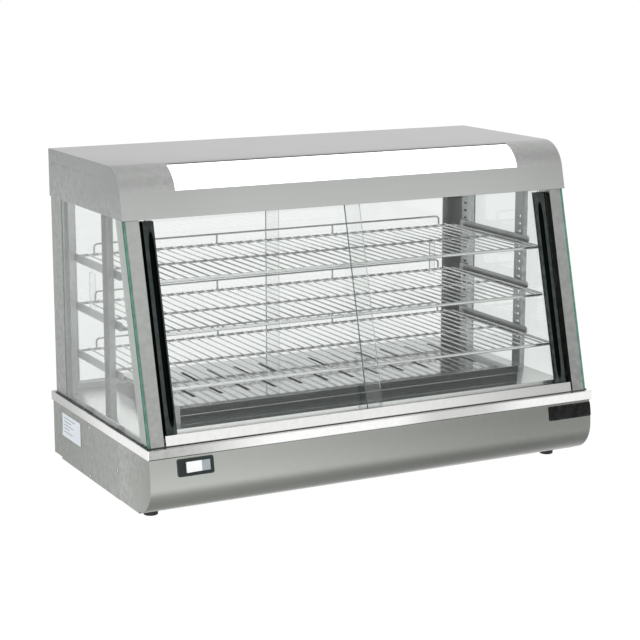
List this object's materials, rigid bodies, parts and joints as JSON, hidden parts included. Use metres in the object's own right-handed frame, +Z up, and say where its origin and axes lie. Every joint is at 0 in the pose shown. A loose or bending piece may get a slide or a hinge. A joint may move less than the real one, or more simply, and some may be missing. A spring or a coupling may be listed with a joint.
{
  "type": "hot food display case",
  "caption": "Counter-top heated display case with sloping sliding glass doors, glass sides, wire shelves and a lit curved hood on a sheet-metal base.",
  "frame": {"origin": "centre of the footprint, on the counter under the feet", "axes": "+X along the length, to the right as a customer in front sees it; the customer side faces -Y and the operator side +Y; +Z up"},
  "size_m": [0.92, 0.492, 0.61],
  "materials": {
    "brushed_steel": "satin brushed",
    "bright_trim": "bright polished",
    "aluminium_track": "satin anodised",
    "chromed_wire": "polished",
    "element_sheath": "dull, heat darkened",
    "black_plastic": "fine matt",
    "handle_profile": "satin, dark green-grey",
    "white_plastic": "gloss",
    "clear_plastic": "clear",
    "bakelite": "moulded",
    "label_film": "blank printed film",
    "opal_diffuser": "opal, lit from behind",
    "lamp_glass": "frosted white tube",
    "clear_glass": "clear toughened, faint green at the edges",
    "black_rubber": "matt"
  },
  "bodies": {
    "case": {"front_panel": "brushed_steel", "side_panel_left": "brushed_steel", "side_panel_right": "brushed_steel", "back_panel": "brushed_steel", "base_pan": "brushed_steel", "trim_frame": "bright_trim", "deck_plate": "brushed_steel", "heater_cover": "bright_trim", "heating_element": "element_sheath", "foot_front_left": "black_rubber", "foot_front_right": "black_rubber", "foot_rear_left": "black_rubber", "foot_rear_right": "black_rubber", "switch_bezel": "black_plastic", "badge_plate": "black_plastic", "rating_label": "label_film", "thermostat_body": "bakelite", "cable_gland": "black_plastic", "front_sill": "aluminium_track", "front_head_track": "aluminium_track", "rear_sill": "aluminium_track", "rear_head_track": "aluminium_track", "front_post_left": "brushed_steel", "front_post_right": "brushed_steel", "rear_post_left": "brushed_steel", "rear_post_right": "brushed_steel", "upright_front_left": "brushed_steel", "upright_front_right": "brushed_steel", "upright_rear_left": "brushed_steel", "upright_rear_right": "brushed_steel", "side_glass_left": "clear_glass", "side_glass_right": "clear_glass", "bracket_upper_left": "brushed_steel", "bracket_upper_right": "brushed_steel", "bracket_middle_left": "brushed_steel", "bracket_middle_right": "brushed_steel", "bracket_lower_left": "brushed_steel", "bracket_lower_right": "brushed_steel", "hood_shell": "brushed_steel", "hood_ceiling": "brushed_steel", "light_diffuser": "opal_diffuser", "lamp_tube": "lamp_glass", "lamp_holder_left": "white_plastic", "lamp_holder_right": "white_plastic"},
    "front_door_left": {"front_door_glass_left": "clear_glass", "front_door_handle_left": "handle_profile"},
    "front_door_right": {"front_door_glass_right": "clear_glass", "front_door_handle_right": "handle_profile"},
    "rear_door_left": {"rear_door_glass_left": "clear_glass", "rear_door_pull_left": "clear_plastic"},
    "rear_door_right": {"rear_door_glass_right": "clear_glass", "rear_door_pull_right": "clear_plastic"},
    "rocker": {"switch_rocker": "white_plastic"},
    "knob": {"thermostat_knob": "black_plastic"},
    "upper_shelf": {"shelf_upper": "chromed_wire", "fence_upper": "chromed_wire"},
    "middle_shelf": {"shelf_middle": "chromed_wire", "fence_middle": "chromed_wire"},
    "lower_shelf": {"shelf_lower": "chromed_wire", "fence_lower": "chromed_wire"}
  },
  "joints": [
    {"name": "front_door_left_slide", "type": "slide", "parent": "case", "child": "front_door_left", "axis": [1, 0, 0], "range_m": [0, 0.4]},
    {"name": "front_door_right_slide", "type": "slide", "parent": "case", "child": "front_door_right", "axis": [-1, 0, 0], "range_m": [0, 0.4]},
    {"name": "rear_door_left_slide", "type": "slide", "parent": "case", "child": "rear_door_left", "axis": [1, 0, 0], "range_m": [0, 0.43]},
    {"name": "rear_door_right_slide", "type": "slide", "parent": "case", "child": "rear_door_right", "axis": [-1, 0, 0], "range_m": [0, 0.43]},
    {"name": "rocker_tip", "type": "hinge", "parent": "case", "child": "rocker", "pos_m": [-0.369, -0.23503, 0.1047], "axis": [0, -0.1678, -0.9858], "range_deg": [0, 10]},
    {"name": "knob_turn", "type": "hinge", "parent": "case", "child": "knob", "pos_m": [0.3, 0.2305, 0.075], "axis": [0, -1, 0], "range_deg": [0, 270]},
    {"name": "upper_shelf_lift", "type": "slide", "parent": "case", "child": "upper_shelf", "axis": [0, 0, 1], "range_m": [0, 0.012]},
    {"name": "middle_shelf_lift", "type": "slide", "parent": "case", "child": "middle_shelf", "axis": [0, 0, 1], "range_m": [0, 0.012]},
    {"name": "lower_shelf_lift", "type": "slide", "parent": "case", "child": "lower_shelf", "axis": [0, 0, 1], "range_m": [0, 0.012]}
  ]
}
